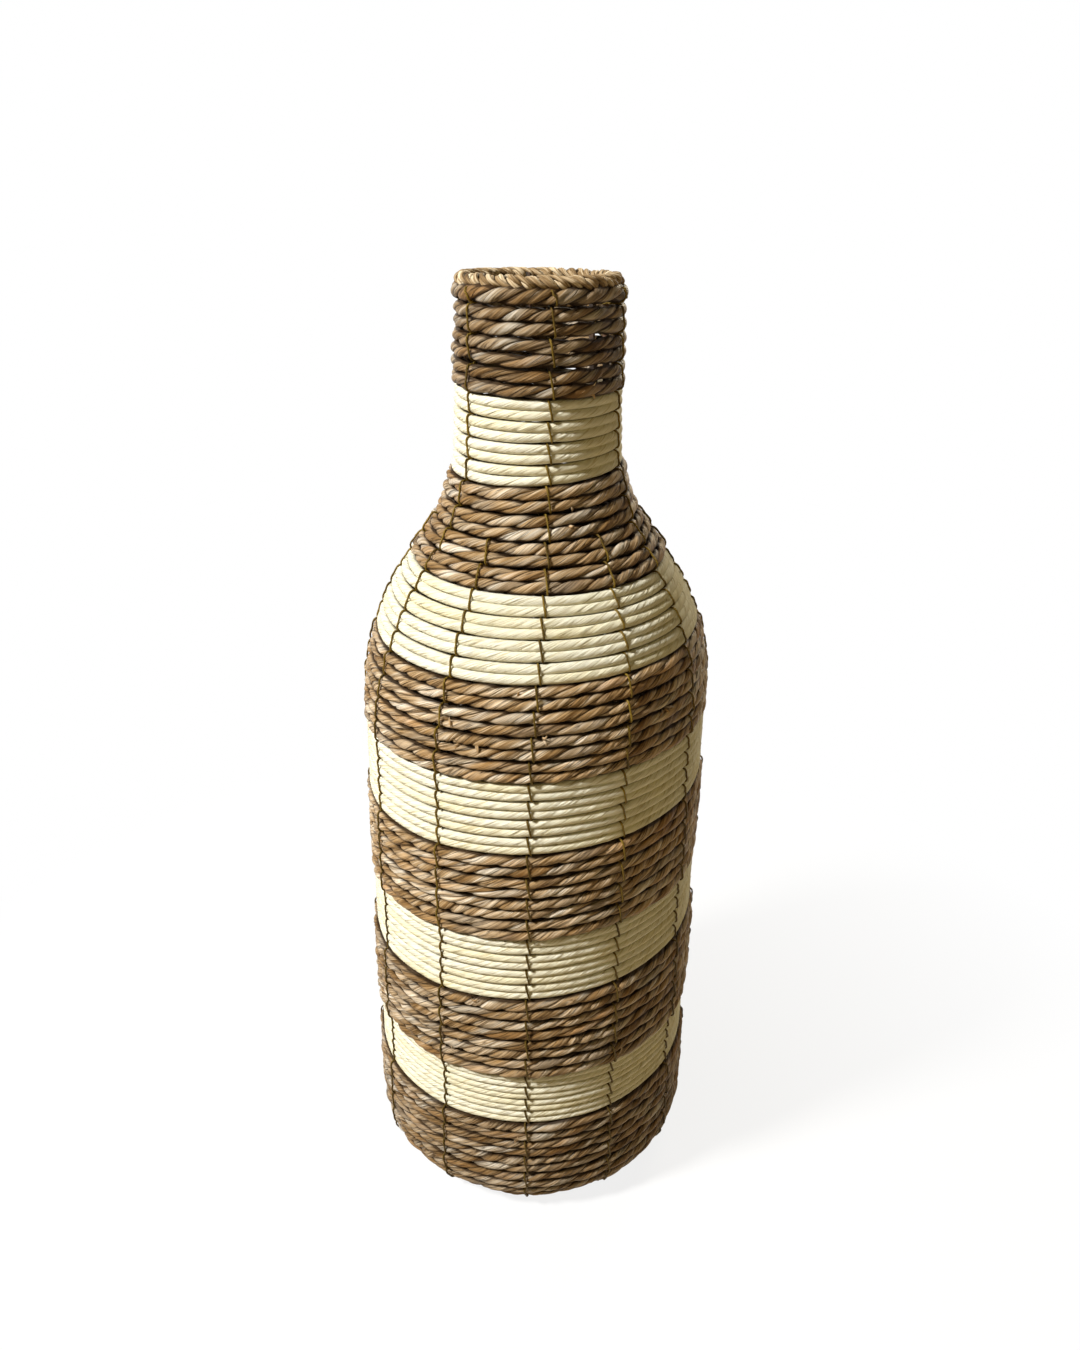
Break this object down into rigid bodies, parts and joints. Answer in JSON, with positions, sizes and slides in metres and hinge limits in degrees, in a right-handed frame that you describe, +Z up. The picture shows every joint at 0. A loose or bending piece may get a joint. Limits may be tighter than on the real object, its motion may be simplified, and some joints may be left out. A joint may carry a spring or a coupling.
{
  "type": "woven bottle vase",
  "caption": "Tall bottle-shaped vase of brown leaf rope and cream rope wound in bands round a wire frame, with stitched columns and an open mouth.",
  "frame": {"origin": "middle of the underside, on the surface that the vase stands on", "axes": "+Z up along the vase's axis to the mouth, the pictured front faces -Y, +X to the viewer's right"},
  "size_m": [0.2262, 0.226, 0.5968],
  "materials": {
    "brown_rope": "two-ply rope of dried flat leaf, tan to brown, with fine fibre lines and a dull sheen",
    "cream_rope": "tightly twisted pale husk rope with fine slanting wrinkles",
    "binding_thread": "thin golden brown twisted thread",
    "rim_lashing": "fine golden two-ply cord laid close round the rim",
    "painted_wire": "round wire, dark brown paint, slightly worn"
  },
  "bodies": {
    "root": {"neck_brown_band": "brown_rope", "neck_cream_band": "cream_rope", "shoulder_brown_band": "brown_rope", "shoulder_cream_band": "cream_rope", "body_brown_band_1": "brown_rope", "body_cream_band_1": "cream_rope", "body_brown_band_2": "brown_rope", "body_cream_band_2": "cream_rope", "body_brown_band_3": "brown_rope", "body_cream_band_3": "cream_rope", "foot_brown_band": "brown_rope", "base_coil": "brown_rope", "rim_lashing": "rim_lashing", "rim_hoop": "painted_wire", "shoulder_hoop": "painted_wire", "upper_body_hoop": "painted_wire", "lower_body_hoop": "painted_wire", "foot_hoop": "painted_wire", "base_ring": "painted_wire", "centre_ring": "painted_wire", "long_rib_1": "painted_wire", "short_rib_1": "painted_wire", "long_rib_2": "painted_wire", "short_rib_2": "painted_wire", "long_rib_3": "painted_wire", "short_rib_3": "painted_wire", "long_rib_4": "painted_wire", "short_rib_4": "painted_wire", "long_rib_5": "painted_wire", "short_rib_5": "painted_wire", "long_rib_6": "painted_wire", "short_rib_6": "painted_wire", "long_thread_1": "binding_thread", "short_thread_1": "binding_thread", "long_thread_2": "binding_thread", "short_thread_2": "binding_thread", "long_thread_3": "binding_thread", "short_thread_3": "binding_thread", "long_thread_4": "binding_thread", "short_thread_4": "binding_thread", "long_thread_5": "binding_thread", "short_thread_5": "binding_thread", "long_thread_6": "binding_thread", "short_thread_6": "binding_thread"}
  },
  "joints": []
}
